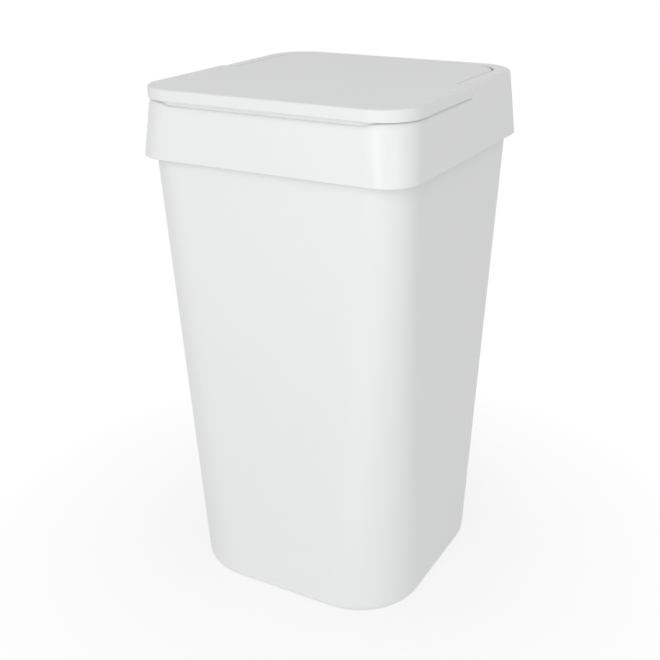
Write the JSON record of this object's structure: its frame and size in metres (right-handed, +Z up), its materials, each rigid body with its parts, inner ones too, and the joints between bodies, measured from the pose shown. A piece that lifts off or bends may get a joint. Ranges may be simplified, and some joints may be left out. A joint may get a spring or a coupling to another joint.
{
  "type": "swing-lid kitchen bin",
  "caption": "Tapered kitchen bin of nearly square plan, with a lift-off collar and a flat lid that swings up at the front on pins held in the collar's ears.",
  "frame": {"origin": "middle of the base, on the surface that the bin stands on", "axes": "+Z up; -Y is the front, where the lid lifts; X runs from side to side, across the plane of symmetry"},
  "size_m": [0.162, 0.166, 0.3],
  "materials": {
    "white_plastic": "satin moulded polypropylene"
  },
  "bodies": {
    "bucket": {"bucket": "white_plastic"},
    "collar": {"collar": "white_plastic"},
    "lid": {"lid": "white_plastic"}
  },
  "joints": [
    {"name": "collar_lift", "type": "slide", "parent": "bucket", "child": "collar", "axis": [0, 0, 1], "range_m": [0, 0.06]},
    {"name": "lid_swing", "type": "hinge", "parent": "collar", "child": "lid", "pos_m": [0, 0.047, 0.294], "axis": [-1, 0, 0], "range_deg": [0, 100]}
  ]
}
